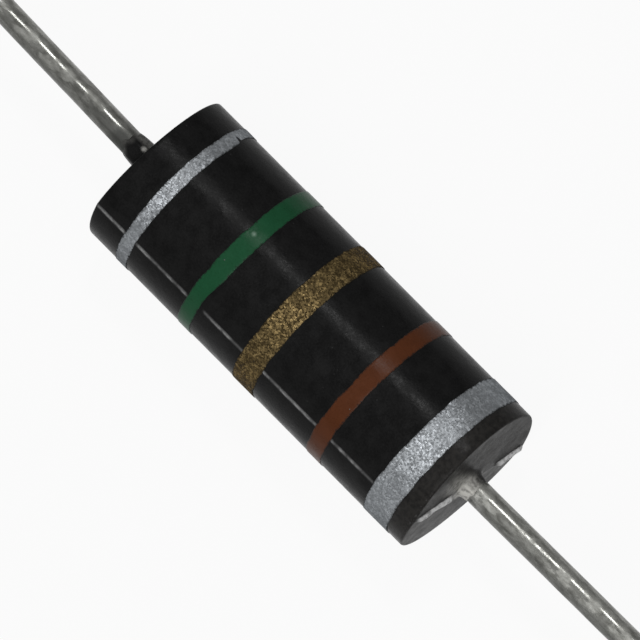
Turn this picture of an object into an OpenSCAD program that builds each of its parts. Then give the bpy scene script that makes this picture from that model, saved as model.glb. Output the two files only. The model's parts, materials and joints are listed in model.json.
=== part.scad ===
// Axial inductor: a wound core moulded into a black cylinder, with a wire lead
// on each end and painted value bands. The lead axis runs along X through the
// middle of the body, and Z is up.

/* [Body] */
// Diameter of the moulded body
body_d = 4.15; // [3.8:0.05:6]
// Length of the moulded body, over the ridges of its two ends
body_len = 10.4; // [9.8:0.1:16]
// Slope of each end face away from the parting plane, in degrees
end_draft = 3; // [0.5:0.5:6]
// Turn of the parting plane from vertical about the lead axis, in degrees
parting_turn = 58; // [0:1:180]
// Width of the flash line where the two mould halves met
flash_w = 0.06; // [0.02:0.01:0.12]
// Height of the flash line above the body
flash_h = 0.02; // [0.01:0.005:0.05]
// Thickness of the flash fins on the end faces, at their root
fin_t = 0.12; // [0.06:0.02:0.3]
// Height of the flash fins above the end faces
fin_h = 0.06; // [0.04:0.02:0.2]

/* [Leads] */
// Diameter of a lead where it is tinned
lead_d = 0.61; // [0.6:0.01:0.9]
// Length of a lead from the body's end to its tip
lead_len = 33; // [12:0.5:40]
// Lean of the near lead: how far its tip lies to the side of the lead axis
near_tip_offset = 0.315; // [0:0.005:0.4]
// Lean of the far lead: how far its tip lies to the side of the lead axis
far_tip_offset = 0.675; // [0:0.005:0.8]
// Length of the resin collar on the near lead
near_collar_len = 0.18; // [0.14:0.02:0.6]
// Length of the resin collar on the far lead
far_collar_len = 0.75; // [0.2:0.05:1.2]
// Thickness of the resin film in a collar
collar_t = 0.04; // [0.02:0.01:0.1]
// Radius of the fillet between a collar and the end face
collar_fillet = 0.12; // [0.06:0.02:0.14]

/* [Bands] */
// Thickness of the paint
paint_t = 0.025; // [0.015:0.005:0.06]
// Width of the narrow silver band
narrow_silver_w = 0.36; // [0.25:0.01:0.6]
// Width of the green band
green_w = 0.49; // [0.3:0.01:0.8]
// Width of the gold band
gold_w = 0.68; // [0.3:0.01:0.9]
// Width of the brown band
brown_w = 0.47; // [0.3:0.01:0.8]
// Width of the wide silver band
wide_silver_w = 0.78; // [0.5:0.01:1]

/* [Core and winding] */
// Diameter of the core
core_d = 2.3; // [1.6:0.05:2.6]
// Bare core left at each end of the winding
core_margin = 0.45; // [0.3:0.05:0.6]
// Chamfer on the core's edges
core_chamfer = 0.1; // [0.05:0.01:0.2]
// Diameter of the lead's bare wire inside the body
wire_d = 0.57; // [0.4:0.01:0.58]
// Depth to which each lead is set in the core
seat_depth = 1.5; // [0.8:0.1:1.8]
// Diameter of the winding's wire, with its enamel
magnet_wire_d = 0.25; // [0.15:0.01:0.26]
// Length of the solder bead on each lead
bead_len = 0.7; // [0.4:0.05:0.8]
// Diameter of the solder bead
bead_d = 1.1; // [0.8:0.05:1.5]
// Resin between a solder bead and the end of the body
end_wall = 0.88; // [0.4:0.02:1.2]

/* [Hidden] */

$fn = 96;

// Gap between a piece and the resin or cement that holds it
bond_gap = 0.015;
// Reach of a cut past the solid that it cuts
overrun = 0.5;
// Sinking of the flash into the body that it grows from
flash_root = 0.1;

body_r = body_d / 2;
half_len = body_len / 2;
wire_r = wire_d / 2;
lead_r = lead_d / 2;
bead_r = bead_d / 2;

// Places of the bands' middles along the body, from its middle
band_place_shares = [-0.392, -0.188, -0.006, 0.218, 0.413];
band_widths = [narrow_silver_w, green_w, gold_w, brown_w, wide_silver_w];
band_count = len(band_widths);

// Stretch of an end face's radius that carries a flash fin
fin_start_share = 0.38;
fin_end_share = 0.9;
// Thickness of a fin at its tip, to that at its root
fin_tip_share = 0.4;

// Length over which the tin on a lead thickens, how far the bare wire runs on inside it,
// and the cut at a lead's tip
tin_shoulder = 0.12;
tin_overlap = 0.2;
tip_chamfer = 0.06;

// Wall of a solder bead at its ends, to that in its middle
bead_neck_share = 0.3;

// The winding's pitch leaves a little air between turns
pitch_share = 1.05;
winding_pitch = magnet_wire_d * pitch_share;

// The wire's way from the last turn to its lead, in turns
run_off_turns = 0.5;
inward_turns = 0.75;
wrap_turns = 1.5;
steps_per_turn = 20;
wire_sides = 6;

// A straight step cuts inside its arc, so the wire's radii are that much larger
chord_share = 1 / cos(180 / steps_per_turn);
coil_r = (core_d / 2 + bond_gap + magnet_wire_d / 2) * chord_share;
wrap_r = (wire_r + bond_gap + magnet_wire_d / 2) * chord_share;

// Places along the axis, from the body's end inwards: the bead, the wire wrapped round the
// lead, the wire on its way in, and the core
bead_end = half_len - end_wall;
bead_start = bead_end - bead_len;
wrap_end_x = bead_start - bond_gap - magnet_wire_d / 2;
inward_x = wrap_end_x - wrap_turns * winding_pitch;
core_half = inward_x - magnet_wire_d / 2 - bond_gap;

// As many whole turns as the core has room for
turns = floor(2 * (core_half - core_margin) / winding_pitch);
winding_len = turns * winding_pitch;

// Turns counted from the coil's middle to each change in the wire's way
run_off_end = turns / 2 + run_off_turns;
inward_end = run_off_end + inward_turns;
wrap_end = inward_end + wrap_turns;

module along_x() {
    rotate([90, 0, 90]) children();
}

// Turns what belongs to the mould halves: the parting plane is XZ inside
module in_mould() {
    rotate([parting_turn, 0, 0]) children();
}

module both_ends() {
    children();
    mirror([1, 0, 0]) children();
}

function band_middle(i) = body_len * band_place_shares[i];
function band_low(i) = band_middle(i) - band_widths[i] / 2;
function band_high(i) = band_middle(i) + band_widths[i] / 2;

// Cylinder whose ends slope back from the ridges on the parting plane
module body_blank() {
    reach = body_r + overrun;
    drop = reach * tan(end_draft);
    intersection() {
        along_x() cylinder(d = body_d, h = body_len, center = true);
        linear_extrude(2 * reach, center = true)
            polygon([
                [half_len, 0], [half_len - drop, reach], [drop - half_len, reach],
                [-half_len, 0], [drop - half_len, -reach], [half_len - drop, -reach]
            ]);
    }
}

// Flash along the parting plane, on the stretches of body that the bands leave bare
module flash_line() {
    end_inset = flash_h;
    for (i = [0 : band_count]) {
        low = i == 0 ? end_inset - half_len : band_high(i - 1);
        high = i == band_count ? half_len - end_inset : band_low(i);
        for (side = [0, 180])
            rotate([side, 0, 0])
                translate([low, 0, body_r])
                    along_x()
                        linear_extrude(high - low)
                            polygon([
                                [-flash_w / 2, -flash_root], [flash_w / 2, -flash_root],
                                [flash_w / 2, 0], [0, flash_h], [-flash_w / 2, 0]
                            ]);
    }
}

// Fins of flash across an end face, one on each side of the lead
module end_fins() {
    fin_start = body_r * fin_start_share;
    fin_reach = body_r * (fin_end_share - fin_start_share);
    tip = fin_t * fin_tip_share / 2;
    for (side = [0, 180])
        rotate([side, 0, 0])
            translate([half_len, 0, fin_start])
                linear_extrude(fin_reach)
                    polygon([
                        [-flash_root, -fin_t / 2], [0, -fin_t / 2], [fin_h, -tip],
                        [fin_h, tip], [0, fin_t / 2], [-flash_root, fin_t / 2]
                    ]);
}

// Resin that crept out along a lead: a thin sleeve with a fillet at the end face
module collar(collar_len) {
    sleeve_r = wire_r + bond_gap + collar_t;
    foot_r = sleeve_r + collar_fillet;
    along_x() {
        translate([0, 0, half_len - flash_root])
            cylinder(r = sleeve_r, h = flash_root + collar_len);
        translate([0, 0, half_len])
            difference() {
                translate([0, 0, -flash_root])
                    cylinder(r = foot_r, h = flash_root + collar_fillet);
                rotate_extrude()
                    translate([foot_r, collar_fillet])
                        circle(r = collar_fillet);
            }
    }
}

// Room that the wound core, its beads and the bare wires take in the resin
module cavity() {
    coil_room = coil_r + magnet_wire_d / 2 + bond_gap;
    coil_reach = inward_x + magnet_wire_d / 2 + bond_gap;
    bead_room = max(bead_r, wrap_r + magnet_wire_d / 2) + bond_gap;
    bead_reach = bead_end + bond_gap;
    wire_room = wire_r + bond_gap;
    reach = half_len + max(near_collar_len, far_collar_len) + overrun;
    along_x()
        rotate_extrude()
            polygon([
                [0, -reach], [wire_room, -reach], [wire_room, -bead_reach],
                [bead_room, -bead_reach], [bead_room, -coil_reach], [coil_room, -coil_reach],
                [coil_room, coil_reach], [bead_room, coil_reach], [bead_room, bead_reach],
                [wire_room, bead_reach], [wire_room, reach], [0, reach]
            ]);
}

module moulded_body() {
    color("#1a1a1b")
        difference() {
            union() {
                in_mould() {
                    body_blank();
                    flash_line();
                    both_ends() end_fins();
                }
                collar(near_collar_len);
                mirror([1, 0, 0]) collar(far_collar_len);
            }
            cavity();
        }
}

// Pressed rod with chamfered edges and a blind hole for a lead in each end
module core() {
    color("#4a4644")
        along_x()
            difference() {
                rotate_extrude()
                    polygon([
                        [0, -core_half], [core_d / 2 - core_chamfer, -core_half],
                        [core_d / 2, core_chamfer - core_half], [core_d / 2, core_half - core_chamfer],
                        [core_d / 2 - core_chamfer, core_half], [0, core_half]
                    ]);
                for (side = [0, 180])
                    rotate([side, 0, 0])
                        translate([0, 0, core_half - seat_depth - bond_gap])
                            cylinder(d = wire_d + 2 * bond_gap, h = seat_depth + bond_gap + overrun);
            }
}

// Place of the wire's centre line, by turns counted from the coil's middle
function wire_x(u) = sign(u) * lookup(abs(u), [
    [0, 0], [turns / 2, winding_len / 2], [run_off_end, inward_x],
    [inward_end, inward_x], [wrap_end, wrap_end_x]
]);
function wire_radius(u) = lookup(abs(u), [[0, coil_r], [run_off_end, coil_r], [inward_end, wrap_r]]);
function wire_point(u) = [wire_x(u), wire_radius(u) * cos(360 * u), wire_radius(u) * sin(360 * u)];
function unit(v) = v / norm(v);

// Ring of points round the wire's centre line, square to its way
function wire_ring(u, step) =
    let (
        middle = wire_point(u),
        way = unit(wire_point(min(u + step, wrap_end)) - wire_point(max(u - step, -wrap_end))),
        out = unit([0, cos(360 * u), sin(360 * u)]),
        across = unit(cross(way, out)),
        up = cross(across, way)
    )
    [for (k = [0 : wire_sides - 1])
        middle + magnet_wire_d / 2 * (cos(360 * k / wire_sides) * up + sin(360 * k / wire_sides) * across)];

// One wire from lead to lead: wrapped, run out over the core's end, coiled, and back
module winding() {
    ring_count = ceil(2 * wrap_end * steps_per_turn);
    step = 2 * wrap_end / ring_count;
    points = [for (i = [0 : ring_count]) each wire_ring(i * step - wrap_end, step)];
    skin = [for (i = [0 : ring_count - 1], k = [0 : wire_sides - 1])
        let (
            a = i * wire_sides + k,
            b = i * wire_sides + (k + 1) % wire_sides
        )
        each [[a, a + wire_sides, b], [b, a + wire_sides, b + wire_sides]]];
    first_cap = [for (k = [0 : wire_sides - 1]) k];
    last_cap = [for (k = [wire_sides - 1 : -1 : 0]) ring_count * wire_sides + k];
    color("#b8642f")
        polyhedron(points, concat(skin, [first_cap, last_cap]), convexity = 10);
}

// Wire set in the core and straight to the end of its collar, then leaning and tinned
module lead(collar_len, tip_offset) {
    start = core_half - seat_depth;
    tin_x = half_len + collar_len + bond_gap;
    tinned_len = lead_len - collar_len - bond_gap;
    lean = asin(tip_offset / tinned_len);
    tin_start_r = (wire_r + lead_r) / 2;
    along_x()
        translate([0, 0, start])
            cylinder(d = wire_d, h = tin_x + tin_overlap - start);
    translate([tin_x, 0, 0])
        rotate([0, 0, lean])
            along_x()
                rotate_extrude()
                    polygon([
                        [0, 0], [tin_start_r, 0], [lead_r, tin_shoulder],
                        [lead_r, tinned_len - tip_chamfer],
                        [lead_r - tip_chamfer, tinned_len], [0, tinned_len]
                    ]);
}

module near_lead() {
    color("#8d8d88") lead(near_collar_len, near_tip_offset);
}

module far_lead() {
    color("#8d8d88") mirror([1, 0, 0]) lead(far_collar_len, far_tip_offset);
}

// Solder drawn up round a lead into a spindle: an arc of bulge from neck to neck
module solder_bead() {
    bore_r = wire_r + bond_gap;
    wall = bead_r - bore_r;
    bulge = wall * (1 - bead_neck_share);
    arc_r = (bead_len * bead_len / 4 + bulge * bulge) / (2 * bulge);
    color("#b9b9b6")
        along_x()
            translate([0, 0, bead_start])
                rotate_extrude()
                    intersection() {
                        translate([bore_r, 0]) square([wall, bead_len]);
                        translate([bead_r - arc_r, bead_len / 2]) circle(r = arc_r);
                    }
}

module near_solder_bead() {
    solder_bead();
}

module far_solder_bead() {
    mirror([1, 0, 0]) solder_bead();
}

// Ring of paint round the body
module band(i) {
    along_x()
        translate([0, 0, band_low(i)])
            rotate_extrude()
                translate([body_r, 0])
                    square([paint_t, band_widths[i]]);
}

module narrow_silver_band() {
    color("#9a9da0") band(0);
}

module green_band() {
    color("#1f5a38") band(1);
}

module gold_band() {
    color("#7d6434") band(2);
}

module brown_band() {
    color("#6b3218") band(3);
}

module wide_silver_band() {
    color("#9a9da0") band(4);
}

moulded_body();
core();
winding();
near_lead();
far_lead();
near_solder_bead();
far_solder_bead();
narrow_silver_band();
green_band();
gold_band();
brown_band();
wide_silver_band();
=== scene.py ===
# %% [markdown]
# # Dressing an axial inductor
# The object is a moulded inductor with a body no longer than a fingernail: black resin, a tinned wire out
# of each end and five bands of paint that give its value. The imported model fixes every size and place.
# This lesson makes each visible piece again with finer curves, and adds the small faults that moulding,
# dipping and painting leave behind. Blender works in metres and this object in tenths of a millimetre, so
# lengths are written in millimetres and multiplied by `MM`.

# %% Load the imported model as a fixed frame
import json
import math

import bmesh
import bpy
from mathutils import Matrix, Vector, noise


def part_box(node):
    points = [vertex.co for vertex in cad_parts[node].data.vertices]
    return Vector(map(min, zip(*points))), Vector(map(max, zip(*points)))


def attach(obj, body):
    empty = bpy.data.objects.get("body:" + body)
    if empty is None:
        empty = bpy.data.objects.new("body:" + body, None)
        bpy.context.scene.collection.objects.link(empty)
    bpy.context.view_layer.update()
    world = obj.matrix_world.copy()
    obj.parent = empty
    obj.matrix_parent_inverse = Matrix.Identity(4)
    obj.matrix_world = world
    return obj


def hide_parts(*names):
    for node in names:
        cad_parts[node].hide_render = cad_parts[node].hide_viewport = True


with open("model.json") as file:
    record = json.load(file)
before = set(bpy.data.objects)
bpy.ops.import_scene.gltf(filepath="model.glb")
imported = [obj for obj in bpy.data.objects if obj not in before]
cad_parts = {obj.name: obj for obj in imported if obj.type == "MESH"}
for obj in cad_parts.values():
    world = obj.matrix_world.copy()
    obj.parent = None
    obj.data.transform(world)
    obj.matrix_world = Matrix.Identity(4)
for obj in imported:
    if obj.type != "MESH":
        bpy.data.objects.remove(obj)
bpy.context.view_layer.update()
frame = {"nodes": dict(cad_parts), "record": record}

MM = 0.001


# %% [markdown]
# ## Sizes
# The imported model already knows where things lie, so a band takes its two edges from its node's box, and
# a wire, further on, its radius and lean from the mount that says where its pin lies. Only the body's
# radius and half of its length are written here, because the body's box also holds the collars round the
# wires.

# %% The body's size, and the edges of the bands
BODY_RADIUS = 2.075 * MM
BODY_HALF = 5.2 * MM
BAND_NODES = ("narrow_silver_band", "green_band", "gold_band", "brown_band", "wide_silver_band")
band_ends = {name: (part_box(name)[0].x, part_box(name)[1].x) for name in BAND_NODES}
for name, (start, end) in band_ends.items():
    print(f"{name}: {start / MM:.2f} to {end / MM:.2f} mm")

# %% [markdown]
# ## Node helpers
# A procedural material is a tree of small nodes. It could be clicked together in the editor, but a script
# can be read and changed. `add_node` makes one node and fills its sockets with plain values or with
# links, so that a tree is written from its textures towards its shader.

# %% One node, and one step of arithmetic
def add_node(tree, kind, sockets=None, **settings):
    """Adds a node. A socket takes a plain value, or a link from another node's output."""
    node = tree.nodes.new(kind)
    for name, value in settings.items():
        setattr(node, name, value)
    for name, value in (sockets or {}).items():
        if isinstance(value, bpy.types.NodeSocket):
            tree.links.new(value, node.inputs[name])
        else:
            node.inputs[name].default_value = value
    return node


def combine(tree, operation, first, second):
    """One step of arithmetic on two values."""
    return add_node(tree, "ShaderNodeMath", {0: first, 1: second}, operation=operation).outputs[0]


def combine_vectors(tree, operation, sockets):
    """One step of arithmetic on vectors."""
    return add_node(tree, "ShaderNodeVectorMath", sockets, operation=operation).outputs[0]


print("node helpers ready")

# %% [markdown]
# Every pattern here is noise that is fixed to the object. Object coordinates keep it in place when the
# object moves, and counting in millimetres lets each pattern be sized by its features to the millimetre.
# `in_range` then picks out the part of the noise that matters.

# %% Noise on the object, and a range of it
def millimetres(tree, stretch=(1.0, 1.0, 1.0)):
    """The point on the object in millimetres, drawn out along an axis where stretch is below one."""
    place = add_node(tree, "ShaderNodeTexCoord").outputs["Object"]
    return combine_vectors(tree, "MULTIPLY", {0: place, 1: [share / MM for share in stretch]})


def noise_value(tree, place, per_mm, detail=2.0, roughness=0.5):
    """Cloudy noise with that many features to the millimetre."""
    sockets = {"Vector": place, "Scale": per_mm, "Detail": detail, "Roughness": roughness}
    return add_node(tree, "ShaderNodeTexNoise", sockets).outputs["Fac"]


def in_range(tree, value, low, high, start=0.0, end=1.0):
    """Spreads low to high over start to end, and holds what lies outside."""
    sockets = {"Value": value, "From Min": low, "From Max": high, "To Min": start, "To Max": end}
    return add_node(tree, "ShaderNodeMapRange", sockets).outputs["Result"]


print("pattern helpers ready")

# %% [markdown]
# ## Shared surface effects
# Four effects come back in several materials, so each is a node group. The first is the fine unevenness
# that a mould or a press leaves. It is far finer than the mesh, so it is painted on: a cloudy mottle, a
# height for a bump, and a few pale specks of filler.

# %% Group: grain of a moulded or pressed surface
FINE_SHARE = 0.45
FINE_HEIGHT_SHARE = 0.22
SPECKS_PER_MM = 2.6


def new_group(name, inputs, outputs):
    """An empty shader node group with its sockets."""
    tree = bpy.data.node_groups.new(name, "ShaderNodeTree")
    for label, kind in inputs:
        tree.interface.new_socket(label, in_out="INPUT", socket_type=kind)
    for label, kind in outputs:
        tree.interface.new_socket(label, in_out="OUTPUT", socket_type=kind)
    return tree, tree.nodes.new("NodeGroupInput").outputs, tree.nodes.new("NodeGroupOutput").inputs


GRAIN, _, grain_out = new_group("moulded_grain", [], [
    ("Mottle", "NodeSocketFloat"), ("Height", "NodeSocketFloat"), ("Specks", "NodeSocketFloat")])
grain_place = millimetres(GRAIN)
cloud = noise_value(GRAIN, grain_place, per_mm=3.0, detail=3.0)
fine = noise_value(GRAIN, grain_place, per_mm=22.0)
waves = noise_value(GRAIN, grain_place, per_mm=4.0)
mottle = add_node(GRAIN, "ShaderNodeMix", {0: FINE_SHARE, 2: cloud, 3: fine}).outputs[0]
GRAIN.links.new(in_range(GRAIN, mottle, low=0.36, high=0.64), grain_out["Mottle"])
grain_height = combine(GRAIN, "ADD", waves, combine(GRAIN, "MULTIPLY", fine, FINE_HEIGHT_SHARE))
GRAIN.links.new(grain_height, grain_out["Height"])
dots = add_node(GRAIN, "ShaderNodeTexVoronoi", {"Vector": grain_place, "Scale": SPECKS_PER_MM})
GRAIN.links.new(in_range(GRAIN, dots.outputs["Distance"], low=0.05, high=0.02), grain_out["Specks"])
print("group", GRAIN.name)

# %% [markdown]
# Silver and gold paint is lacquer full of metal flakes. Thousands of tiny mirrors would be too many to
# model, so a Voronoi cell stands for one flake: its random colour gives the flake a brightness, a gloss
# and a small tilt of the normal. A cloudy noise makes the film thicker and thinner.

# %% Group: paint film full of metal flakes
FLAKE_CONTRAST = 1.4
NO_TILT = (0.5, 0.5, 0.5)


def mix_colours(tree, share, first, second):
    """The first colour where share is 0, the second where it is 1."""
    return add_node(tree, "ShaderNodeMix", {0: share, 6: first, 7: second}, data_type="RGBA").outputs[2]


FLAKES, flake_in, flake_out = new_group(
    "flake_film",
    [("Flakes per mm", "NodeSocketFloat"), ("Tilt", "NodeSocketFloat"),
     ("Dark", "NodeSocketColor"), ("Light", "NodeSocketColor")],
    [("Colour", "NodeSocketColor"), ("Roughness", "NodeSocketFloat"), ("Normal", "NodeSocketVector")])
film_place = millimetres(FLAKES)
cells = {"Vector": film_place, "Scale": flake_in["Flakes per mm"]}
flake = add_node(FLAKES, "ShaderNodeTexVoronoi", cells).outputs["Color"]
flake_parts = add_node(FLAKES, "ShaderNodeSeparateColor", {0: flake}).outputs
film_cloud = noise_value(FLAKES, film_place, per_mm=6.0, detail=3.0)
thickness = in_range(FLAKES, film_cloud, low=0.36, high=0.62, start=0.3)
brightness = combine(FLAKES, "POWER", flake_parts[0], FLAKE_CONTRAST)
brightness = combine(FLAKES, "MULTIPLY", brightness, thickness)
FLAKES.links.new(mix_colours(FLAKES, brightness, flake_in["Dark"], flake_in["Light"]), flake_out["Colour"])
flake_dullness = in_range(FLAKES, flake_parts[1], low=0.0, high=1.0, start=0.48, end=0.62)
FLAKES.links.new(flake_dullness, flake_out["Roughness"])
tilt = combine_vectors(FLAKES, "SUBTRACT", {0: flake, 1: NO_TILT})
tilt = combine_vectors(FLAKES, "SCALE", {0: tilt, "Scale": flake_in["Tilt"]})
surface = add_node(FLAKES, "ShaderNodeNewGeometry").outputs["Normal"]
tilted = combine_vectors(FLAKES, "ADD", {0: surface, 1: tilt})
FLAKES.links.new(combine_vectors(FLAKES, "NORMALIZE", {0: tilted}), flake_out["Normal"])
print("group", FLAKES.name)

# %% [markdown]
# The wires and the solder wear a skin of dipped tin, which dries in cloudy patches, with bright and dull
# dashes drawn out along the wire. Noise that is stretched along X gives both, and the same patches feed
# the height.

# %% Group: dipped tin
DRAWN_OUT = (0.45, 1.0, 1.0)
PATCH_HEIGHT_SHARE = 0.1
TIN, _, tin_out = new_group("dull_tin", [], [
    ("Patches", "NodeSocketFloat"), ("Roughness", "NodeSocketFloat"), ("Height", "NodeSocketFloat")])
drawn = millimetres(TIN, DRAWN_OUT)
patches = noise_value(TIN, drawn, per_mm=8.0, detail=5.0, roughness=0.7)
TIN.links.new(in_range(TIN, patches, low=0.36, high=0.66), tin_out["Patches"])
dashes = noise_value(TIN, drawn, per_mm=4.4, detail=3.0)
TIN.links.new(in_range(TIN, dashes, low=0.485, high=0.6, start=0.23, end=0.48), tin_out["Roughness"])
ripples = noise_value(TIN, drawn, per_mm=2.6, detail=1.0)
tin_height = combine(TIN, "ADD", ripples, combine(TIN, "MULTIPLY", patches, PATCH_HEIGHT_SHARE))
TIN.links.new(tin_height, tin_out["Height"])
print("group", TIN.name)

# %% [markdown]
# A rolled-on film is thin at its edges, where the black shows through. The edge could be cut ragged in
# the mesh, but a mask is finer: each band's mesh carries its depth from the nearer edge, in millimetres,
# and this group turns that depth and some noise into a mask of full cover.

# %% Group: cover of a film that thins towards its edges
FULL_DEPTH_MM = 0.04
EDGE_COVER = 0.2


def mesh_value(tree, name):
    """A value that the mesh carries at its vertices."""
    return add_node(tree, "ShaderNodeAttribute", attribute_name=name).outputs["Fac"]


COVER, _, cover_out = new_group("thin_edge", [], [("Cover", "NodeSocketFloat")])
roller_marks = noise_value(COVER, millimetres(COVER), per_mm=16.0)
feather = in_range(COVER, roller_marks, low=0.3, high=0.7, start=-0.025, end=0.03)
uneven_depth = combine(COVER, "ADD", mesh_value(COVER, "depth"), feather)
cover = in_range(COVER, uneven_depth, low=0.0, high=FULL_DEPTH_MM, start=EDGE_COVER)
COVER.links.new(cover, cover_out["Cover"])
print("group", COVER.name)

# %% [markdown]
# ## Materials
# Each finish is one Principled shader. What is the same all over it, such as how metallic it is, is set
# on the shader's own sockets; what changes over the surface comes from the groups and from masks.

# %% Helpers for materials
def new_material(name, **constants):
    """A material with one Principled shader, and the values that are the same all over it."""
    material = bpy.data.materials.new(name)
    material.use_nodes = True
    shader = material.node_tree.nodes["Principled BSDF"]
    for label, value in constants.items():
        shader.inputs[label.replace("_", " ")].default_value = value
    return material, material.node_tree, shader.inputs


def place_group(tree, group, sockets=None):
    """Places a shared group in a material, with its own values, and gives back its outputs."""
    return add_node(tree, "ShaderNodeGroup", sockets, node_tree=group).outputs


def bump(tree, height, depth_mm, normal=None):
    """A normal tilted by a height that runs from 0 to depth_mm."""
    sockets = {"Height": height, "Distance": depth_mm * MM}
    if normal:
        sockets["Normal"] = normal
    return add_node(tree, "ShaderNodeBump", sockets).outputs["Normal"]


def colour(red, green, blue):
    """A colour with full alpha."""
    return (red, green, blue, 1.0)


def grey(level):
    """An even grey as a colour."""
    return colour(level, level, level)


print("material helpers ready")

# %% [markdown]
# ## Black moulded resin
# The body is black resin, a little glossy, with fine grain. Its mesh carries two masks: one where resin
# that squeezed out between the mould halves broke off pale, which also holds a painted highlight on the
# fins and the parting line, and one where dried flux lies or the resin is thin, which also holds one
# painted highlight spot on the far collar. Two more come from the distance along the axis, as they run
# straight round the body: a hazy strip beside the near end, and dust on the near end's face. Noise breaks
# all four up, so that none has a clean outline.

# %% Black resin: its masks
HAZE_REACH_MM = 0.58
HAZE_EASE_MM = 0.1
FACE_REACH_MM = 0.13
FACE_EASE_MM = 0.05
haze_start = BODY_HALF / MM - HAZE_REACH_MM
face_start = BODY_HALF / MM - FACE_REACH_MM

RESIN, tree, shader = new_material("black_resin", Specular_IOR_Level=0.03)
place = millimetres(tree)
along = add_node(tree, "ShaderNodeSeparateXYZ", {0: place}).outputs["X"]
crumbs = noise_value(tree, place, per_mm=9.0, detail=3.0)
flash_crumbs = in_range(tree, crumbs, low=0.36, high=0.56, start=0.55)
flash = combine(tree, "MULTIPLY", mesh_value(tree, "flash"), flash_crumbs)
flux_and_highlight_crumbs = in_range(tree, crumbs, low=0.36, high=0.58, start=0.45)
flux_and_highlight = combine(tree, "MULTIPLY", mesh_value(tree, "flux_and_highlight"), flux_and_highlight_crumbs)
haze_crumbs = in_range(tree, crumbs, low=0.35, high=0.6, start=0.4)
haze = in_range(tree, along, low=haze_start, high=haze_start + HAZE_EASE_MM)
haze = combine(tree, "MULTIPLY", haze, haze_crumbs)
near_face = in_range(tree, along, low=face_start, high=face_start + FACE_EASE_MM)
grit = in_range(tree, noise_value(tree, place, per_mm=26.0), low=0.56, high=0.76)
dust = combine(tree, "MULTIPLY", near_face, grit)
print(f"haze from {haze_start:.2f} mm and dust from {face_start:.2f} mm along the axis")

# %% [markdown]
# With the masks at hand, the colour is laid on from the bottom up, as on the real part: the mottled black
# first, then haze, dust and specks, and the palest marks last, which hold painted highlights as well as
# pale resin and flux. One loop does it, because every layer is the same step.

# %% Black resin: its layers and its gloss
FACE_DULLING = 0.1
grain = place_group(tree, GRAIN)
RESIN_LAYERS = (
    (haze, colour(0.023, 0.0218, 0.0205)),
    (dust, grey(0.07)),
    (grain["Specks"], grey(0.03)),
    # pale broken flash, and also a painted highlight on the fins and the parting line
    (flash, grey(0.72)),
    # dried flux and thin resin, and also one painted highlight spot on the far collar
    (flux_and_highlight, colour(0.62, 0.61, 0.57)))
resin_colour = mix_colours(tree, grain["Mottle"], grey(0.0064), grey(0.0108))
for mask, layer in RESIN_LAYERS:
    resin_colour = mix_colours(tree, mask, resin_colour, layer)
tree.links.new(resin_colour, shader["Base Color"])
dullness = in_range(tree, grain["Mottle"], low=0.0, high=1.0, start=0.2, end=0.36)
dullness = combine(tree, "ADD", dullness, combine(tree, "MULTIPLY", near_face, FACE_DULLING))
tree.links.new(dullness, shader["Roughness"])
tree.links.new(bump(tree, grain["Height"], depth_mm=0.007), shader["Normal"])
print("material", RESIN.name, "with", len(RESIN_LAYERS), "layers on the black")

# %% [markdown]
# ## Band paints
# The silver and gold bands are metal-flake paint. They share the flake group and differ in colour, in the
# flakes' tilt and in how metallic the film is, so one function makes both. The edge mask lets the black
# through where the film is thin.

# %% Flake paints
BARE = grey(0.012)
FLAKES_PER_MM = 28.0


def flake_paint(name, tilt, dark, light, metallic):
    """Metal-flake paint from the shared group."""
    material, nodes, sockets = new_material(name, Metallic=metallic, Specular_IOR_Level=0.2,
                                            Specular_Tint=grey(0.15))
    film_values = {"Flakes per mm": FLAKES_PER_MM, "Tilt": tilt, "Dark": dark, "Light": light}
    film = place_group(nodes, FLAKES, film_values)
    lumps = noise_value(nodes, millimetres(nodes), per_mm=6.0)
    cover = place_group(nodes, COVER)["Cover"]
    nodes.links.new(mix_colours(nodes, cover, BARE, film["Colour"]), sockets["Base Color"])
    nodes.links.new(film["Roughness"], sockets["Roughness"])
    nodes.links.new(bump(nodes, lumps, depth_mm=0.002, normal=film["Normal"]), sockets["Normal"])
    print("material", material.name)
    return material


SILVER = flake_paint("silver_flake_paint", tilt=0.3, dark=colour(0.225, 0.237, 0.248),
                     light=colour(0.45, 0.473, 0.496), metallic=0.88)
GOLD = flake_paint("gold_flake_paint", tilt=0.42, dark=colour(0.045, 0.0322, 0.0145),
                   light=colour(0.272, 0.196, 0.087), metallic=0.7)

# %% [markdown]
# Green and brown are plain semi-gloss enamel. Even colour would look like plastic, so the grain group
# makes the film a little cloudy and carries the body's own unevenness through it. A blister in the green
# gets a painted highlight, a pale colour where its mesh says so.

# %% Plain enamels
PAINT_SPECK = grey(0.1)
BLISTER_HIGHLIGHT_COLOUR = colour(0.3, 0.4, 0.33)


def enamel(name, thin, full):
    """Semi-gloss paint whose colour is a little cloudy, with a painted highlight where its mesh has a
    blister.
    """
    material, nodes, sockets = new_material(name, Specular_IOR_Level=0.045)
    film = place_group(nodes, GRAIN)
    paint = mix_colours(nodes, film["Mottle"], thin, full)
    paint = mix_colours(nodes, film["Specks"], paint, PAINT_SPECK)
    # the pale colour on the blister is a painted highlight
    paint = mix_colours(nodes, mesh_value(nodes, "blister_highlight"), paint, BLISTER_HIGHLIGHT_COLOUR)
    cover = place_group(nodes, COVER)["Cover"]
    nodes.links.new(mix_colours(nodes, cover, BARE, paint), sockets["Base Color"])
    dullness = in_range(nodes, film["Mottle"], low=0.0, high=1.0, start=0.26, end=0.34)
    nodes.links.new(dullness, sockets["Roughness"])
    nodes.links.new(bump(nodes, film["Height"], depth_mm=0.007), sockets["Normal"])
    print("material", material.name)
    return material


GREEN = enamel("green_enamel", thin=colour(0.0098, 0.053, 0.0225), full=colour(0.0116, 0.064, 0.028))
BROWN = enamel("brown_enamel", thin=colour(0.064, 0.0205, 0.0085), full=colour(0.078, 0.0252, 0.0105))
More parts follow.
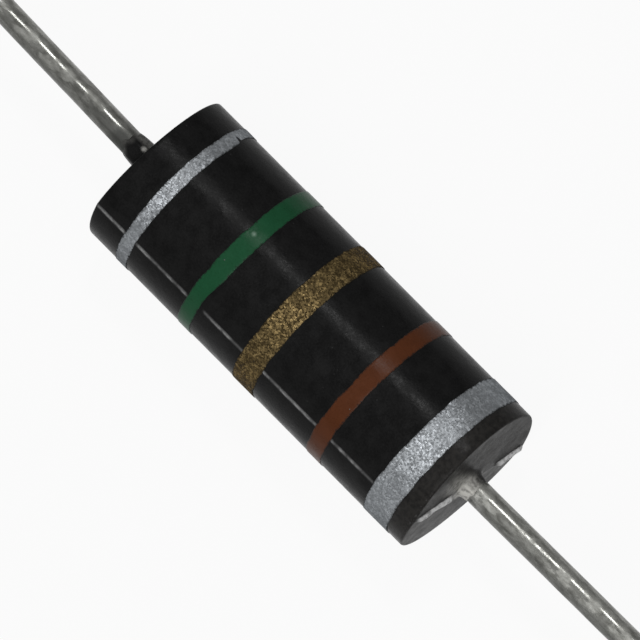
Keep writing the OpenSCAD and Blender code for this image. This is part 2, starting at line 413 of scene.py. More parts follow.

# %% [markdown]
# ## Tinned wire
# The wires are copper dipped in tin, dull from storage. Half of what is seen is plain grey scatter from
# the oxide skin, so the shader is only partly metallic; the tin group changes its tone and its gloss. Two
# masks on the mesh add what handling left, with some painted shade: `residue`, pale flux on the near wire,
# and a stain mask, a dark tarnish on the far wire together with painted shade on the -Y side of both
# wires, that also takes the shine away where it is strong.

# %% Tinned wire
TIN_DARK = colour(0.15, 0.15, 0.136)
TIN_LIGHT = colour(0.33, 0.331, 0.309)
TIN_RESIDUE = colour(0.55, 0.55, 0.52)
TIN_TARNISH_AND_SHADE = colour(0.045, 0.046, 0.042)
TINNED, tree, shader = new_material("tinned_wire", Metallic=0.5, Specular_IOR_Level=0.5)
tin = place_group(tree, TIN)
crumbs = in_range(tree, noise_value(tree, millimetres(tree), per_mm=6.0), low=0.42, high=0.56)
residue = combine(tree, "MULTIPLY", mesh_value(tree, "residue"), crumbs)
tarnish_and_shade = mesh_value(tree, "tarnish_and_shade")
tin_colour = mix_colours(tree, tin["Patches"], TIN_DARK, TIN_LIGHT)
tin_colour = mix_colours(tree, residue, tin_colour, TIN_RESIDUE)
# the tarnish mask also paints shade: each wire is darker on its -Y side
tree.links.new(mix_colours(tree, tarnish_and_shade, tin_colour, TIN_TARNISH_AND_SHADE), shader["Base Color"])
stain_dullness = in_range(tree, tarnish_and_shade, low=0.58, high=0.8, end=0.25)
tree.links.new(combine(tree, "ADD", tin["Roughness"], stain_dullness), shader["Roughness"])
tree.links.new(bump(tree, tin["Height"], depth_mm=0.006), shader["Normal"])
print("material", TINNED.name)

# %% [markdown]
# ## Hidden parts
# Inside are a core of pressed iron powder, a winding of enamelled copper and two beads of solder. The
# body hides them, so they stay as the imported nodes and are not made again. They still get a finish each
# from the shared groups, so that the object also holds up when the body is taken away.

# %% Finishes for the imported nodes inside
IRON, tree, shader = new_material("pressed_iron_powder", Metallic=0.5, Specular_IOR_Level=0.4)
powder = place_group(tree, GRAIN)
tree.links.new(mix_colours(tree, powder["Height"], grey(0.03), grey(0.12)), shader["Base Color"])
powder_dullness = in_range(tree, powder["Mottle"], low=0.0, high=1.0, start=0.55, end=0.75)
tree.links.new(powder_dullness, shader["Roughness"])
tree.links.new(bump(tree, powder["Height"], depth_mm=0.02), shader["Normal"])

COPPER, tree, shader = new_material("enamelled_copper", Metallic=0.9, Coat_Weight=0.6, Coat_Roughness=0.15)
coat = place_group(tree, GRAIN)
copper_colour = mix_colours(tree, coat["Mottle"], colour(0.42, 0.13, 0.04), colour(0.55, 0.19, 0.06))
tree.links.new(copper_colour, shader["Base Color"])
copper_dullness = in_range(tree, coat["Mottle"], low=0.0, high=1.0, start=0.24, end=0.34)
tree.links.new(copper_dullness, shader["Roughness"])

SOLDER, tree, shader = new_material("solder", Metallic=0.8, Specular_IOR_Level=0.5)
skin = place_group(tree, TIN)
tree.links.new(mix_colours(tree, skin["Patches"], grey(0.35), grey(0.5)), shader["Base Color"])
tree.links.new(skin["Roughness"], shader["Roughness"])
tree.links.new(bump(tree, skin["Height"], depth_mm=0.008), shader["Normal"])

INNER = {"core": IRON, "winding": COPPER, "near_solder_bead": SOLDER, "far_solder_bead": SOLDER}
for name, material in INNER.items():
    inner_mesh = frame["nodes"][name].data
    inner_mesh.materials.clear()
    inner_mesh.materials.append(material)
print("inner nodes:", ", ".join(INNER))

# %% [markdown]
# ## The moulded body
# The body comes out of a two-part mould, with rounded rims and a small collar of resin round each wire.
# It could be cut from a cylinder, but body, bands and wires are all turned shapes, and a half-outline
# that is spun gives each its true profile with the fewest points. Here these are two corners, whose bevel
# rounds the rims, and the collars as (length, radius) points in millimetres from the end's face.

# %% Outline of the body
RIM = 0.05 * MM
NEAR_COLLAR = ((0.0, 0.46), (0.025, 0.39), (0.07, 0.35), (0.16, 0.33), (0.24, 0.32), (0.27, 0.285))
FAR_COLLAR = ((0.0, 0.5), (0.03, 0.42), (0.09, 0.38), (0.22, 0.36), (0.35, 0.355), (0.48, 0.345),
              (0.57, 0.335), (0.63, 0.322), (0.66, 0.3))
near_collar = [(BODY_HALF + length * MM, radius * MM) for length, radius in NEAR_COLLAR]
far_collar = [(-BODY_HALF - length * MM, radius * MM) for length, radius in FAR_COLLAR]
corners = [(-BODY_HALF, BODY_RADIUS), (BODY_HALF, BODY_RADIUS)]


def draw_line(bm, points):
    """A chain of edges through (x, radius) points, in the half-plane above the X axis."""
    verts = [bm.verts.new((x, 0.0, radius)) for x, radius in points]
    for pair in zip(verts, verts[1:]):
        bm.edges.new(pair)


bm = bmesh.new()
draw_line(bm, far_collar[::-1] + corners + near_collar)
rims = [vert for vert in bm.verts if vert.co.z > BODY_RADIUS - RIM]
bmesh.ops.bevel(bm, geom=rims, offset=RIM, segments=4, profile=0.5, affect="VERTICES", material=-1)
print("outline:", len(bm.verts), "points")

# %% [markdown]
# The next steps move single vertices, so the outline is divided first, finely enough for the smallest
# mark on the body. The spin starts in the parting plane of the mould, so one column of vertices runs
# along the parting line.

# %% Outline divided and spun
BODY_STEPS = 400
SIDE_CUTS = 110
END_CUTS = 30
SLEEVE_CUTS = 3
LONG_EDGE = 0.5 * MM
SLEEVE_START = -BODY_HALF - 0.08 * MM


def longest_edge(bm):
    """The longest edge drawn so far."""
    return max(bm.edges, key=lambda edge: edge.calc_length())


def spin_round(bm, steps):
    """Turns everything drawn so far once about the X axis."""
    bmesh.ops.spin(bm, geom=bm.verts[:] + bm.edges[:], cent=(0, 0, 0), axis=(1, 0, 0),
                   angle=2.0 * math.pi, steps=steps, use_merge=True)


bmesh.ops.subdivide_edges(bm, edges=[longest_edge(bm)], cuts=SIDE_CUTS)
ends = [edge for edge in bm.edges if edge.calc_length() > LONG_EDGE]
bmesh.ops.subdivide_edges(bm, edges=ends, cuts=END_CUTS)
sleeve = [edge for edge in bm.edges if max(vert.co.x for vert in edge.verts) < SLEEVE_START]
bmesh.ops.subdivide_edges(bm, edges=sleeve, cuts=SLEEVE_CUTS)
spin_round(bm, BODY_STEPS)
print("body skin:", len(bm.verts), "vertices")

# %% [markdown]
# What moulding and painting leave behind has soft borders and no pattern. Three helpers serve every such
# mark from here on: an eased step from 0 to 1, the same step by the angle round the axis, and smooth
# noise over a turned surface, which needs no seam because it is read at the point itself.

# %% Helpers for soft and uneven marks
def smooth_step(low, high, value):
    """Eases from 0 at low to 1 at high; low may be the larger of the two."""
    share = min(1.0, max(0.0, (value - low) / (high - low)))
    return share * share * (3.0 - 2.0 * share)


def facing(around, turn, edge, full):
    """Eases from 0 to 1 as an angle comes round to turn; edge and full are cosines of what is left."""
    return smooth_step(edge, full, math.cos(around - turn))


def wobble(along, around, per_mm, seed):
    """Smooth noise from about -1 to 1 over a turned surface, the same on every run."""
    turn = Vector((0.0, math.cos(around), math.sin(around))) * BODY_RADIUS
    return noise.noise((turn + Vector((along, 0.0, 0.0))) * (per_mm / MM) + Vector((seed, 0.0, 0.0)))


print("helpers for marks ready")

# %% [markdown]
# Flash is the thin ridge of resin that squeezed out between the mould halves. It could be a strip of its
# own, but it grew out of the body, so the columns of vertices on the parting line are lifted instead.
# Noise makes the ridge ragged, and where a band is painted it was scraped off first. The ridge's pale
# colour is partly broken resin and partly a painted highlight.

# %% Flash along the sides
FLASH_HEIGHT = 0.025 * MM
FLASH_HALF_WIDTH = 0.05 * MM
FLASH_TOP_SHARE = 0.3
FLASH_GONE = -0.35
FLASH_WHOLE = 0.45
FLASH_PALE_AND_HIGHLIGHT_LEAST = 0.1
FLASH_PALE_AND_HIGHLIGHT_MORE = 0.26
FLASH_FADE_START = BODY_HALF - 0.7 * MM
FLASH_FADE_END = BODY_HALF - 0.45 * MM
CLOSE = 0.001 * MM
flash_layer = bm.verts.layers.float.new("flash")


def painted(x):
    """True under a band."""
    return any(start < x < end for start, end in band_ends.values())


for vert in bm.verts:
    x, y, z = vert.co
    if math.hypot(y, z) > BODY_RADIUS - CLOSE and abs(y) < FLASH_HALF_WIDTH and not painted(x):
        side_turn = 0.0 if z > 0.0 else math.pi
        ragged = smooth_step(FLASH_GONE, FLASH_WHOLE, wobble(x, side_turn, per_mm=4.0, seed=3.0))
        crest = smooth_step(1.0, FLASH_TOP_SHARE, abs(y) / FLASH_HALF_WIDTH)
        vert.co.z += math.copysign(FLASH_HEIGHT * ragged * crest, z)
        # the pale colour of the flash is partly broken resin and partly a painted highlight
        pale_and_highlight = FLASH_PALE_AND_HIGHLIGHT_LEAST + FLASH_PALE_AND_HIGHLIGHT_MORE * ragged
        vert[flash_layer] = pale_and_highlight * crest * smooth_step(FLASH_FADE_END, FLASH_FADE_START, x)
print("flash set on", sum(vert[flash_layer] > 0.0 for vert in bm.verts), "vertices")

# %% [markdown]
# On the ends the same resin stands up as two short fins, one on each side of the wire, higher at the near
# end. They are lifted from the end faces in the same way, between an inner and an outer radius. Their pale
# colour is partly broken resin and partly a painted highlight on their flanks.

# %% Fins on the ends
FIN_HEIGHT = 0.11 * MM
FAR_FIN_HEIGHT = 0.05 * MM
FIN_HALF_WIDTH = 0.085 * MM
FIN_TOP_SHARE = 0.25
FIN_EASE = 0.18 * MM
UPPER_FIN = (0.6 * MM, 2.02 * MM)
LOWER_FIN = (0.95 * MM, 2.03 * MM)
FIN_EVEN_SHARE = 0.8
FIN_RAGGED_SHARE = 0.4
FIN_PALE_AND_HIGHLIGHT_GAIN = 6.0
for vert in bm.verts:
    x, y, z = vert.co
    if abs(x) > BODY_HALF - CLOSE and abs(y) < FIN_HALF_WIDTH:
        inner, outer = UPPER_FIN if z > 0.0 else LOWER_FIN
        radius = math.hypot(y, z)
        length = smooth_step(inner, inner + FIN_EASE, radius) * smooth_step(outer, outer - FIN_EASE, radius)
        crest = smooth_step(1.0, FIN_TOP_SHARE, abs(y) / FIN_HALF_WIDTH)
        ragged = FIN_EVEN_SHARE + FIN_RAGGED_SHARE * wobble(x, z / MM, per_mm=1.0, seed=8.0)
        height = FIN_HEIGHT if x > 0.0 else FAR_FIN_HEIGHT
        vert.co.x += math.copysign(height * length * crest * ragged, x)
        # the pale colour of the fins is partly broken resin and partly a painted highlight
        vert[flash_layer] = length * min(1.0, FIN_PALE_AND_HIGHLIGHT_GAIN * crest)
print("flash and fins set on", sum(vert[flash_layer] > 0.0 for vert in bm.verts), "vertices")

# %% [markdown]
# The ends slope back from the parting plane by the mould's draft, which lets the halves open: every
# vertex moves inwards by its distance from that plane. A last turn puts the parting plane where the mould
# had it.

# %% Sloping ends, and the turn of the mould
DRAFT = math.tan(math.radians(3.0))
MOULD_TURN = math.radians(58.0)
for vert in bm.verts:
    reach = min(1.0, abs(vert.co.x) / BODY_HALF)
    vert.co.x -= math.copysign(DRAFT * abs(vert.co.y) * reach, vert.co.x)
bmesh.ops.rotate(bm, verts=bm.verts[:], cent=(0, 0, 0), matrix=Matrix.Rotation(MOULD_TURN, 3, "X"))
print("ends slope back by", round(DRAFT * BODY_RADIUS / MM, 3), "mm")

# %% [markdown]
# On the near end pale flux has dried in a part ring round the wire, and a smear of it ran over the end's
# face. Both are soft stains with no thickness, so they are a value on the vertices: the ring by the
# distance from the wire and the angle round it, the smear by the distance from one line across the face.

# %% Pale flux on the near end
FLUX_START = BODY_HALF - 0.15 * MM
FLUX_TURN = math.radians(185.0)
RING_OUTER = 0.66 * MM
RING_FULL = 0.4 * MM
RING_SHARE = 0.8
SMEAR_TURN = math.radians(115.0)
SMEAR_REACH = 1.9 * MM
SMEAR_FULL = 0.7 * MM
SMEAR_HALF_WIDTH = 0.5 * MM
SMEAR_CORE = 0.08 * MM
SMEAR_SHARE = 0.6
flux_and_highlight_layer = bm.verts.layers.float.new("flux_and_highlight")
for vert in bm.verts:
    x, y, z = vert.co
    if x > FLUX_START:
        radius = math.hypot(y, z)
        around = math.atan2(z, y)
        ring = smooth_step(RING_OUTER, RING_FULL, radius) * facing(around, FLUX_TURN, edge=-0.25, full=0.45)
        aside = radius * abs(math.remainder(around - SMEAR_TURN, 2.0 * math.pi))
        smear = smooth_step(SMEAR_REACH, SMEAR_FULL, radius)
        smear *= smooth_step(SMEAR_HALF_WIDTH, SMEAR_CORE, aside)
        vert[flux_and_highlight_layer] = max(RING_SHARE * ring, SMEAR_SHARE * smear)
print("flux set on", sum(vert[flux_and_highlight_layer] > 0.0 for vert in bm.verts), "vertices")

# %% [markdown]
# The collars were never machined: resin crept out along the wire and set as it pleased, so noise swells
# them and ends them unevenly, further out on the upper side. On the far collar the resin is thin on one
# side and at its lip, where the flux mask makes it paler, and the same mask paints one highlight spot on
# it.

# %% Rough collars
COLLAR_START = 0.01 * MM
COLLAR_RADIUS = 0.6 * MM
COLLAR_SWELL = 0.09
SWELL_START = 0.29 * MM
SWELL_FULL = 0.33 * MM
CREEP_TOP = 0.22
CREEP_RAGGED = 0.16
THIN_TURN = 0.0
THIN_SHARE = 0.16
LIP_START = 0.48 * MM
LIP_END = 0.66 * MM
LIP_SHARE = 0.1
HIGHLIGHT_SPOT_PLACE = Vector((-BODY_HALF - 0.34 * MM, 0.06 * MM, 0.36 * MM))
HIGHLIGHT_SPOT_RADIUS = 0.1 * MM
HIGHLIGHT_SPOT_CORE = 0.03 * MM
HIGHLIGHT_SPOT_SHARE = 0.48
for vert in bm.verts:
    x, y, z = vert.co
    radius = math.hypot(y, z)
    beyond = abs(x) - BODY_HALF
    if beyond > COLLAR_START and radius < COLLAR_RADIUS:
        around = math.atan2(z, y)
        uneven = wobble(x, around, per_mm=0.8, seed=21.0) * smooth_step(SWELL_START, SWELL_FULL, radius)
        vert.co.y *= 1.0 + COLLAR_SWELL * uneven
        vert.co.z *= 1.0 + COLLAR_SWELL * uneven
        creep = CREEP_TOP * max(0.0, math.sin(around))
        creep += CREEP_RAGGED * wobble(0.0, around, per_mm=1.3, seed=27.0)
        vert.co.x += creep * math.copysign(beyond, x)
        if x < 0.0:
            thin = THIN_SHARE * facing(around, THIN_TURN, edge=0.2, full=0.6)
            lip = LIP_SHARE * smooth_step(LIP_START, LIP_END, beyond)
            # a painted highlight spot on the far collar, carried in the flux mask
            highlight_spot = HIGHLIGHT_SPOT_SHARE * smooth_step(HIGHLIGHT_SPOT_RADIUS, HIGHLIGHT_SPOT_CORE, (vert.co - HIGHLIGHT_SPOT_PLACE).length)
            vert[flux_and_highlight_layer] = max(thin, lip, highlight_spot)
print("far collar ends at", round(min(vert.co.x for vert in bm.verts) / MM, 2), "mm")

# %% [markdown]
# The same few steps turn every bmesh into a piece: close what is open, point the faces outwards, shade it
# smooth, hang it under the root and hide the imported node it stands for. A piece keeps its place in its
# mesh, so the object itself stays at the origin.

# %% From bmesh to piece: the body
def make_piece(bm, name, node, material):
    """Closes the mesh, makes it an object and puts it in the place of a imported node."""
    bmesh.ops.holes_fill(bm, edges=[edge for edge in bm.edges if edge.is_boundary], sides=0)
    bmesh.ops.recalc_face_normals(bm, faces=bm.faces[:])
    open_edges = sum(not edge.is_manifold for edge in bm.edges)
    mesh = bpy.data.meshes.new(name)
    bm.to_mesh(mesh)
    bm.free()
    mesh.shade_smooth()
    mesh.materials.append(material)
    piece = bpy.data.objects.new(name, mesh)
    bpy.context.collection.objects.link(piece)
    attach(piece, "root")
    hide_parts(node)
    print(f"{name}: {len(mesh.polygons)} faces, {open_edges} open edges")


make_piece(bm, "body_skin", "moulded_body", RESIN)

# %% [markdown]
# ## The painted bands
# Each band was rolled on wet, and dried as a thin film with rounded shoulders. It could be a colour on
# the body, but the film has a thickness that catches the light, so it is a piece of its own: a closed
# section, with its shoulders bevelled and its face divided, spun about the axis.

# %% Section of a band, spun
BAND_STEPS = 480
FILM = 0.014 * MM
FILM_ROOT = 0.012 * MM
SHOULDER = 0.012 * MM
FACE_CUTS = 9
MERGE = 0.0005 * MM


def spin_band(start, end):
    """A band of even paint between two places along the body."""
    bm = bmesh.new()
    inside = BODY_RADIUS - FILM_ROOT
    outside = BODY_RADIUS + FILM
    draw_line(bm, ((start, inside), (start, outside), (end, outside), (end, inside), (start, inside)))
    bmesh.ops.remove_doubles(bm, verts=bm.verts[:], dist=MERGE)
    shoulders = [vert for vert in bm.verts if vert.co.z > BODY_RADIUS]
    bmesh.ops.bevel(bm, geom=shoulders, offset=SHOULDER, segments=3, profile=0.5, affect="VERTICES",
                    material=-1)
    face = [edge for edge in bm.edges if min(vert.co.z for vert in edge.verts) > outside - MERGE]
    bmesh.ops.subdivide_edges(bm, edges=face, cuts=FACE_CUTS)
    spin_round(bm, BAND_STEPS)
    return bm


print(f"film of {FILM / MM:.3f} mm on the body")

# %% [markdown]
# A roller's edge never runs true: both edges of a band wander a little, with a finer raggedness on top,
# and the face has soft lumps. Noise by the angle round the body moves the vertices, so that the film
# stays closed. Each vertex first keeps its depth from the nearer edge, which the paint's edge mask reads.

# %% Wandering edges and soft lumps
EDGE_WANDER = 0.022 * MM
FINE_WANDER_SHARE = 0.6
LUMP = 0.003 * MM


def edge_wander(around, slow_seed, fine_seed):
    """How far an edge strays at an angle round the body, as a share of EDGE_WANDER."""
    fine_wander = wobble(0.0, around, per_mm=7.0, seed=fine_seed)
    return wobble(0.0, around, per_mm=2.2, seed=slow_seed) + FINE_WANDER_SHARE * fine_wander


def roughen_band(bm, start, end, seed):
    """Keeps each vertex's depth from the edge, and moves edges and face by smooth noise."""
    depth_layer = bm.verts.layers.float.new("depth")
    for vert in bm.verts:
        x, y, z = vert.co
        around = math.atan2(z, y)
        across = (x - start) / (end - start)
        vert[depth_layer] = min(x - start, end - x) / MM
        left = edge_wander(around, slow_seed=seed, fine_seed=seed + 5.0)
        right = edge_wander(around, slow_seed=seed + 11.0, fine_seed=seed + 17.0)
        vert.co.x += EDGE_WANDER * (left * (1.0 - across) + right * across)
        if math.hypot(y, z) > BODY_RADIUS:
            lift = 1.0 + LUMP * wobble(x, around, per_mm=3.0, seed=seed + 23.0) / BODY_RADIUS
            vert.co.y *= lift
            vert.co.z *= lift


print(f"edges wander by about {EDGE_WANDER / MM:.3f} mm")

# %% [markdown]
# The green band has two faults of its own: a small blister near its middle, with a painted highlight on
# it, and one side of the body where the roller lost touch and the band came out narrower. Both are soft
# moves of the vertices near one place.

# %% Faults of the green band
BLISTER_PLACE = Vector((-2.0 * MM, 0.145 * MM, BODY_RADIUS + FILM))
BLISTER_RADIUS = 0.1 * MM
BLISTER_RISE_SHARE = 0.008
BLISTER_HIGHLIGHT_SHARE = 0.45
EDGE_PULL = 0.095 * MM
PULL_TURN = math.radians(175.0)


def raise_blister(bm):
    """Lifts one small blister in the paint, and marks it for a painted highlight in the paint's colour."""
    blister_highlight_layer = bm.verts.layers.float.new("blister_highlight")
    for vert in bm.verts:
        near = smooth_step(BLISTER_RADIUS, 0.0, (vert.co - BLISTER_PLACE).length)
        vert.co.y *= 1.0 + BLISTER_RISE_SHARE * near
        vert.co.z *= 1.0 + BLISTER_RISE_SHARE * near
        # the blister's pale mark is a painted highlight
        vert[blister_highlight_layer] = BLISTER_HIGHLIGHT_SHARE * near


def pull_edge(bm, start, end):
    """Narrows a band on one side of the body."""
    for vert in bm.verts:
        across = max(0.0, (vert.co.x - start) / (end - start))
        around = math.atan2(vert.co.z, vert.co.y)
        vert.co.x -= EDGE_PULL * facing(around, PULL_TURN, edge=0.55, full=0.82) * across


print(f"blister of {BLISTER_RADIUS / MM:.2f} mm radius, edge drawn in by {EDGE_PULL / MM:.3f} mm")

# %% [markdown]
# Four of the bands now differ only in their place, their paint and their noise, so one loop makes them. A
# seed of its own keeps each band's edges unlike the others', and the same on every run.

# %% Green, gold, brown and wide silver bands
BAND_FINISH = {
    "green_band": ("green_paint", GREEN, 40.0),
    "gold_band": ("gold_paint", GOLD, 80.0),
    "brown_band": ("brown_paint", BROWN, 120.0),
    "wide_silver_band": ("silver_paint", SILVER, 160.0)}
for name, (slot, material, seed) in BAND_FINISH.items():
    start, end = band_ends[name]
    bm = spin_band(start, end)
    roughen_band(bm, start, end, seed)
    if name == "green_band":
        raise_blister(bm)
        pull_edge(bm, start, end)
    make_piece(bm, name + "_paint", name, material)

# %% [markdown]
# The narrow silver band shows where its stroke began and stopped: a notch in one edge, and a last bit of
# the stroke that lies a little further along the body. Both are moves of the spun vertices by their
# angle, which keeps the film closed where a cut would open it.

# %% The narrow silver band with its start and stop
NARROW_SEED = 300.0
STOP_TURN = math.radians(41.0)
NOTCH_HALF_TURN = math.radians(1.6)
NOTCH_SHARE = 0.6
STROKE_SHIFT = 0.06 * MM
STROKE_FADE_TURN = 1.2
start, end = band_ends["narrow_silver_band"]
bm = spin_band(start, end)
roughen_band(bm, start, end, NARROW_SEED)
for vert in bm.verts:
    past = STOP_TURN - math.atan2(vert.co.z, vert.co.y)
    across = max(0.0, (vert.co.x - start) / (end - start))
    if abs(past) < NOTCH_HALF_TURN:
        cut = 1.0 - abs(past) / NOTCH_HALF_TURN
        vert.co.x -= cut * NOTCH_SHARE * across * (end - start)
    if past > 0.0:
        vert.co.x -= STROKE_SHIFT * smooth_step(STROKE_FADE_TURN, 0.0, past) * across
make_piece(bm, "narrow_silver_band_paint", "narrow_silver_band", SILVER)

# %% [markdown]
# ## The wires
# Each wire is drawn copper, dipped in tin and cut off with a slight chamfer. It could be a curve with a
# round section, but the step where the tin starts and the chamfered tip are part of its profile, so it is
# an outline spun straight. The far wire's tin starts a little way inside its collar. The outline stops
# just short of the axis, and closing the small holes completes both end faces.

# %% Outline of a wire, spun
WIRE_STEPS = 56
TIN_CUTS = 260
SHANK_RADIUS = 0.285 * MM
TIN_TAPER = 0.12 * MM
TIP_CHAMFER = 0.06 * MM
HOLE_RADIUS = 0.02 * MM
mounts = {mount["name"]: mount for mount in frame["record"]["mounts"]}


def tin_start(node, side, covered):
    """Where a wire's tin starts: at the root of its pin, less what the collar covers."""
    mount = mounts[node]
    axis = Vector(mount["axis"])
    return mount["pos_m"][0] - axis.x * 0.5 * mount["dims"]["length_mm"] * MM - side * covered


def spin_wire(node, side, tinned_from):
    """A straight wire from its seat in the core to its cut tip; side is 1 at the +X end, else -1."""
    low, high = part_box(node)
    seat, tip = (low.x, high.x) if side > 0.0 else (high.x, low.x)
    radius = mounts[node]["dims"]["r_mm"] * MM
    bm = bmesh.new()
    draw_line(bm, ((seat, HOLE_RADIUS), (seat, SHANK_RADIUS),
                   (tinned_from - side * TIN_TAPER, SHANK_RADIUS), (tinned_from, radius),
                   (tip - side * TIP_CHAMFER, radius), (tip, radius - TIP_CHAMFER), (tip, HOLE_RADIUS)))
    bmesh.ops.subdivide_edges(bm, edges=[longest_edge(bm)], cuts=TIN_CUTS)
    spin_round(bm, WIRE_STEPS)
    return bm


for name, mount in mounts.items():
    print(f"{name}: pin of {mount['dims']['r_mm']:.3f} mm radius")

# %% [markdown]
# The tin is stained by what happened to it. The far wire is tarnished beside its collar and cleaner
# further out. Both wires also get painted shade: they are painted darker on the side that faces -Y, and
# the far wire's stain is painted stronger there than on the side that faces +Y. Flux residue clings to
# the near wire where the ring of flux lies. The stains and the painted shade follow the surface, so they
# are values on the vertices, set while the wire is straight.

# %% Stains on a wire
PAINTED_SHADE_TURN = math.radians(190.0)
PAINTED_SHADE_SHARE = 0.6
STAIN_LEAST = 0.21
STAIN_MORE = 0.45
STAIN_REACH = 3.4 * MM
STAIN_FULL = 1.2 * MM
PLUS_Y_STAIN_SHARE = 0.3
COLLAR_STAIN = 0.45
COLLAR_STAIN_REACH = 1.4 * MM
COLLAR_STAIN_FULL = 0.85 * MM
RESIDUE_REACH = 0.95 * MM
RESIDUE_FULL = 0.35 * MM


def stain_share(beyond, around):
    """How tarnished a spot is by its distance from the body; by its angle round the wire it is painted
    darker towards -Y, as painted shade.
    """
    share = STAIN_LEAST + STAIN_MORE * smooth_step(STAIN_REACH, STAIN_FULL, beyond)
    # painted shade: the stain is painted stronger on the -Y side than on the +Y side
    share *= PLUS_Y_STAIN_SHARE + (1.0 - PLUS_Y_STAIN_SHARE) * facing(around, PAINTED_SHADE_TURN, edge=-0.6, full=0.1)
    return share + COLLAR_STAIN * smooth_step(COLLAR_STAIN_REACH, COLLAR_STAIN_FULL, beyond)


def stain_wire(bm, side, tarnish_and_shade, residue):
    """Sets a wire's two masks; the tarnish and residue arguments are this wire's shares of them, and the
    first mask also holds painted shade on the -Y side.
    """
    tarnish_and_shade_layer = bm.verts.layers.float.new("tarnish_and_shade")
    residue_layer = bm.verts.layers.float.new("residue")
    for vert in bm.verts:
        around = math.atan2(vert.co.z, vert.co.y)
        beyond = max(0.0, side * vert.co.x - BODY_HALF)
        # painted shade: each wire is painted darker on its -Y side
        painted_shade = PAINTED_SHADE_SHARE * facing(around, PAINTED_SHADE_TURN, edge=0.35, full=0.8)
        vert[tarnish_and_shade_layer] = min(1.0, max(tarnish_and_shade * stain_share(beyond, around), painted_shade))
        fluxed = facing(around, FLUX_TURN, edge=-0.3, full=0.5)
        vert[residue_layer] = residue * fluxed * smooth_step(RESIDUE_REACH, RESIDUE_FULL, beyond)


print(f"stain reaches {STAIN_REACH / MM:.1f} mm along the far wire")

# %% [markdown]
# The dip leaves the tin a little uneven: noise swells it by a hundredth or so, which is enough to break
# the highlight into dashes. Outside the body each wire leans off to one side, as its mount says, so every
# ring is moved sideways by its distance from the body.

# %% Uneven tin, and the lean
TIN_SWELL_SHARE = 0.014
RIPPLES_PER_MM = 0.9
RIPPLE_SCALE = 1.1
TIN_SEED = 50.0


def swell_and_lean(bm, node, side, tinned_from, plumpness):
    """Makes the tin uneven, plumper by a share of its radius, and gives the wire its lean."""
    axis = Vector(mounts[node]["axis"])
    seed = Vector((side * TIN_SEED, 0.0, 0.0))
    for vert in bm.verts:
        x, y, z = vert.co
        around = math.atan2(z, y)
        beyond = max(0.0, side * x - BODY_HALF)
        swell = 1.0
        if side * (x - tinned_from) > 0.0:
            point = Vector((x / MM * RIPPLES_PER_MM, math.cos(around), math.sin(around)))
            swell += plumpness + TIN_SWELL_SHARE * noise.noise(point * RIPPLE_SCALE + seed)
        vert.co.y = y * swell + beyond * axis.y / abs(axis.x)
        vert.co.z = z * swell


print(f"tin uneven by up to {100 * TIN_SWELL_SHARE:.1f} percent of its radius")

# %% [markdown]
# Both wires are made in the same four steps and differ only in what happened to them: the near one is a
# little plumper and carries flux, the far one is tarnished and starts inside its collar.

# %% The two wires
def make_wire(name, node, side, tarnish_and_shade, residue, plumpness, covered):
    """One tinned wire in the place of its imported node."""
    tinned_from = tin_start(node, side, covered)
    bm = spin_wire(node, side, tinned_from)
    stain_wire(bm, side, tarnish_and_shade, residue)
    swell_and_lean(bm, node, side, tinned_from, plumpness)
    make_piece(bm, name, node, TINNED)


make_wire("near_wire", "near_lead", side=1.0, tarnish_and_shade=0.0, residue=0.9, plumpness=0.02, covered=0.0)
make_wire("far_wire", "far_lead", side=-1.0, tarnish_and_shade=1.0, residue=0.0, plumpness=0.0, covered=0.45 * MM)

# %% [markdown]
# ## Camera
# The picture is a close-up from steeply above, with the body lying across it. A near camera with a short
# lens would make the near end swell, so a long lens looks from far off and keeps the sides nearly
# parallel. The aim point sits a little to the side of the body's middle, as in the photograph.

# %% Camera
AZIMUTH = math.radians(46.2)
ELEVATION = math.radians(74.7)
DISTANCE = 350.0 * MM
FRAME_WIDTH = 14.57 * MM
AIM_RIGHT = 0.216 * MM
AIM_UP = 0.093 * MM

right = Vector((math.cos(AZIMUTH), math.sin(AZIMUTH), 0.0))
away = Vector((math.sin(AZIMUTH), -math.cos(AZIMUTH), 0.0))
toward_camera = away * math.cos(ELEVATION) + Vector((0.0, 0.0, math.sin(ELEVATION)))
up = toward_camera.cross(right)
camera_data = bpy.data.cameras.new("camera")
camera_data.sensor_width = 36.0
camera_data.lens = camera_data.sensor_width * DISTANCE / FRAME_WIDTH
camera_data.clip_start = 0.01
camera_data.clip_end = 100.0
camera = bpy.data.objects.new("camera", camera_data)
bpy.context.collection.objects.link(camera)
turn = Matrix((right, up, toward_camera)).transposed().to_4x4()
camera.matrix_world = Matrix.Translation(right * AIM_RIGHT + up * AIM_UP + toward_camera * DISTANCE) @ turn
bpy.context.scene.camera = camera
print(f"lens {camera_data.lens:.0f} mm")

# %% [markdown]
# ## Light
# A black glossy cylinder shows its lamps as long streaks. The main lamp stands close to the camera's own
# line, off the directions that the body mirrors to the camera, so it lights the paint and its flakes and
# leaves the black quiet. A small lamp above draws the one thin streak along the body and the wires. An
# even, dim world fills the shadows.

# %% Lamps and ambient light
AMBIENT = 0.2


def lamp(name, angle, sideways, distance, length, width, level):
    """An oval lamp, angle degrees from the camera's line towards sideways, the way it is longest.

    level is its share of the light that makes a white card white."""
    sideways = sideways.normalized()
    toward = toward_camera * math.cos(math.radians(angle)) + sideways * math.sin(math.radians(angle))
    along = sideways * math.cos(math.radians(angle)) - toward_camera * math.sin(math.radians(angle))
    data = bpy.data.lights.new(name, "AREA")
    data.shape = "ELLIPSE"
    data.size = length
    data.size_y = width
    data.energy = level * math.pi ** 2 * distance ** 2
    light = bpy.data.objects.new(name, data)
    bpy.context.collection.objects.link(light)
    turn = Matrix((along, toward.cross(along), toward)).transposed().to_4x4()
    light.matrix_world = Matrix.Translation(toward * distance) @ turn
    light.visible_camera = False
    print(f"{name}: {data.energy:.2f} W")


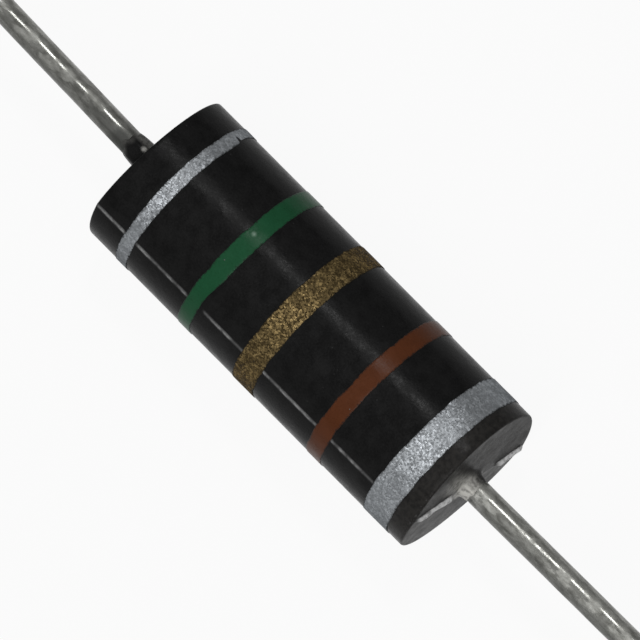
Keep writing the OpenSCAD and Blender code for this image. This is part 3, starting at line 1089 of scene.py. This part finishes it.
lamp("main_lamp", angle=19.0, sideways=-0.71 * right - 0.7 * up, distance=0.6, length=0.6, width=0.16,
     level=0.76)
lamp("streak_lamp", angle=35.5, sideways=0.135 * right + 0.99 * up, distance=0.5, length=0.076,
     width=0.076, level=0.235)

world = bpy.data.worlds.new("world")
bpy.context.scene.world = world
world.use_nodes = True
world.node_tree.nodes["Background"].inputs["Color"].default_value = grey(AMBIENT)

# %% [markdown]
# ## Floor
# The part lies on white paper. Lamps strong enough to burn the paper out would burn the paint out too, so
# the paper is a plain scattering white that takes the shadow, mixed for the camera and for reflections
# with an even glow. It comes out white without any light turned up.

# %% White paper
GLOW_SHARE = 0.93
PAPER, tree, _ = new_material("white_paper")
path = add_node(tree, "ShaderNodeLightPath").outputs
seen = combine(tree, "MAXIMUM", path["Is Camera Ray"], path["Is Glossy Ray"])
seen = combine(tree, "MAXIMUM", seen, path["Is Transmission Ray"])
glow_share = combine(tree, "MULTIPLY", seen, GLOW_SHARE)
fibres = noise_value(tree, millimetres(tree), per_mm=0.8, detail=3.0)
paper_colour = mix_colours(tree, fibres, grey(0.42), grey(0.46))
paper = add_node(tree, "ShaderNodeBsdfDiffuse", {"Color": paper_colour}).outputs["BSDF"]
glow = add_node(tree, "ShaderNodeEmission", {"Color": grey(1.0), "Strength": 1.0}).outputs["Emission"]
both = add_node(tree, "ShaderNodeMixShader", {0: glow_share, 1: paper, 2: glow}).outputs["Shader"]
tree.links.new(both, tree.nodes["Material Output"].inputs["Surface"])
tree.nodes.remove(tree.nodes["Principled BSDF"])
print("material", PAPER.name)

# %% [markdown]
# The sheet itself is one square, so large that its edge is never seen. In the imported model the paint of
# the bands stands out furthest, so the sheet lies just under it.

# %% White floor
FLOOR_HALF = 8.0
PACKED_PAINT = 0.025 * MM
bm = bmesh.new()
bmesh.ops.create_grid(bm, x_segments=1, y_segments=1, size=FLOOR_HALF)
bmesh.ops.translate(bm, verts=bm.verts[:], vec=(0.0, 0.0, -(BODY_RADIUS + PACKED_PAINT)))
floor_mesh = bpy.data.meshes.new("floor")
bm.to_mesh(floor_mesh)
bm.free()
floor_mesh.materials.append(PAPER)
floor = bpy.data.objects.new("floor", floor_mesh)
bpy.context.collection.objects.link(floor)
print(f"floor {(BODY_RADIUS + PACKED_PAINT) / MM:.2f} mm below the axis")

# %% [markdown]
# ## Finish
# The view transform is set to Standard. The dressed object has to stay within the imported model's
# box, give or take a few hundredths of a millimetre of noise.

# %% The view transform
bpy.context.scene.view_settings.view_transform = "Standard"
